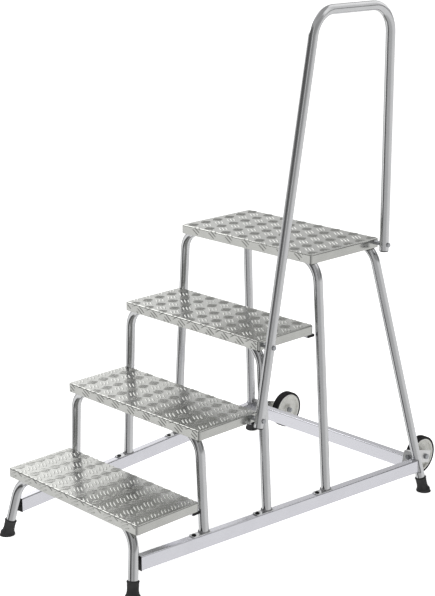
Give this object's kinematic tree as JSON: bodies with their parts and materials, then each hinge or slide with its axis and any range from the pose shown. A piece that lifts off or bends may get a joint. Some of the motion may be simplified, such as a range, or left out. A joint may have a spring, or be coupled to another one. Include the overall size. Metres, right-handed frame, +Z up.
{
  "type": "rolling warehouse ladder",
  "caption": "Free-standing step ladder: checker-plate treads and platform on bent tube arches, splayed base rails, looped handrail, rubber feet and tilt-and-roll rear wheels.",
  "frame": {"origin": "centre of the footprint on the floor", "axes": "+Z up, +Y the way a person climbs, +X to that person's right, where the handrail is"},
  "size_m": [0.9546, 1.5424, 1.8207],
  "materials": {
    "checker_plate": "satin",
    "tube": "satin",
    "rail": "satin",
    "bracket_steel": "satin",
    "fastener_steel": "satin",
    "foot_rubber": "matt",
    "black_plastic": "matt",
    "wheel_hub": "satin",
    "wheel_tyre": "matt"
  },
  "bodies": {
    "frame": {"tread_1": "checker_plate", "tread_2": "checker_plate", "tread_3": "checker_plate", "platform": "checker_plate", "arch_1": "tube", "arch_2": "tube", "arch_3": "tube", "arch_4": "tube", "arch_5": "tube", "handrail": "tube", "rear_cross_rail": "rail", "support_bar_1": "rail", "bar_plug_1_left": "black_plastic", "bar_plug_1_right": "black_plastic", "support_bar_2": "rail", "bar_plug_2_left": "black_plastic", "bar_plug_2_right": "black_plastic", "support_bar_3": "rail", "bar_plug_3_left": "black_plastic", "bar_plug_3_right": "black_plastic", "side_rail_left": "rail", "rail_end_cap_left": "black_plastic", "wheel_bracket_left": "bracket_steel", "bracket_bolt_left": "fastener_steel", "foot_screw_2_left": "fastener_steel", "foot_screw_3_left": "fastener_steel", "foot_screw_4_left": "fastener_steel", "foot_front_left": "foot_rubber", "foot_rear_left": "foot_rubber", "wheel_bush_left": "fastener_steel", "axle_bolt_left": "fastener_steel", "axle_nut_left": "fastener_steel", "side_rail_right": "rail", "rail_end_cap_right": "black_plastic", "wheel_bracket_right": "bracket_steel", "bracket_bolt_right": "fastener_steel", "foot_screw_2_right": "fastener_steel", "foot_screw_3_right": "fastener_steel", "foot_screw_4_right": "fastener_steel", "foot_front_right": "foot_rubber", "foot_rear_right": "foot_rubber", "wheel_bush_right": "fastener_steel", "axle_bolt_right": "fastener_steel", "axle_nut_right": "fastener_steel", "handrail_plug_front": "black_plastic", "handrail_plug_rear": "black_plastic", "handrail_bolt_step_2": "fastener_steel", "handrail_nut_step_2": "fastener_steel", "handrail_spacer_step_2": "fastener_steel", "handrail_bolt_step_3": "fastener_steel", "handrail_nut_step_3": "fastener_steel", "handrail_spacer_step_3": "fastener_steel", "handrail_bolt_platform": "fastener_steel", "handrail_nut_platform": "fastener_steel", "handrail_spacer_platform": "fastener_steel"},
    "wheel_left": {"wheel_tyre_left": "wheel_tyre", "wheel_hub_left": "wheel_hub"},
    "wheel_right": {"wheel_tyre_right": "wheel_tyre", "wheel_hub_right": "wheel_hub"}
  },
  "joints": [
    {"name": "wheel_left_spin", "type": "hinge", "parent": "frame", "child": "wheel_left", "pos_m": [-0.35, 0.69823, 0.0885], "axis": [1, 0, 0], "continuous": true},
    {"name": "wheel_right_spin", "type": "hinge", "parent": "frame", "child": "wheel_right", "pos_m": [0.35, 0.69823, 0.0885], "axis": [1, 0, 0], "continuous": true}
  ]
}
